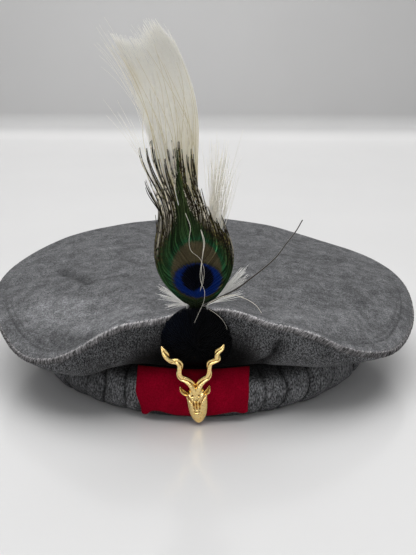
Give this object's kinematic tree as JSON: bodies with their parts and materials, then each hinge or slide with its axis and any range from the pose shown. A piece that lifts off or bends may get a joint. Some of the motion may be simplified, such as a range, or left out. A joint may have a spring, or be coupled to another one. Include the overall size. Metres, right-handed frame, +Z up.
{
  "type": "pakol",
  "caption": "Round felted wool cap with a rolled brim around its head opening and a front spray of red patch, gilt markhor badge, black rosette, peacock eye and white plume.",
  "frame": {"origin": "centre of the whole hat's footprint box, on the surface the rolled brim rests on", "axes": "+Z up through the crown, the front with the badge towards -Y, +X to the right seen from the front"},
  "size_m": [0.2878, 0.2686, 0.2312],
  "materials": {
    "grey_wool": "felted, heathered",
    "red_felt": "smooth felt",
    "gilt": "bright cast gilt",
    "black_hackle": "glossy black barbs",
    "peacock": "iridescent barbs",
    "white_feather": "soft white barbs"
  },
  "bodies": {
    "root": {"crown_top": "grey_wool", "crown_side": "grey_wool", "rolled_brim": "grey_wool", "front_patch": "red_felt", "markhor_badge": "gilt", "rosette": "black_hackle", "peacock_feather": "peacock", "white_plume": "white_feather", "down_tuft_left": "white_feather", "down_tuft_right": "white_feather"}
  },
  "joints": []
}
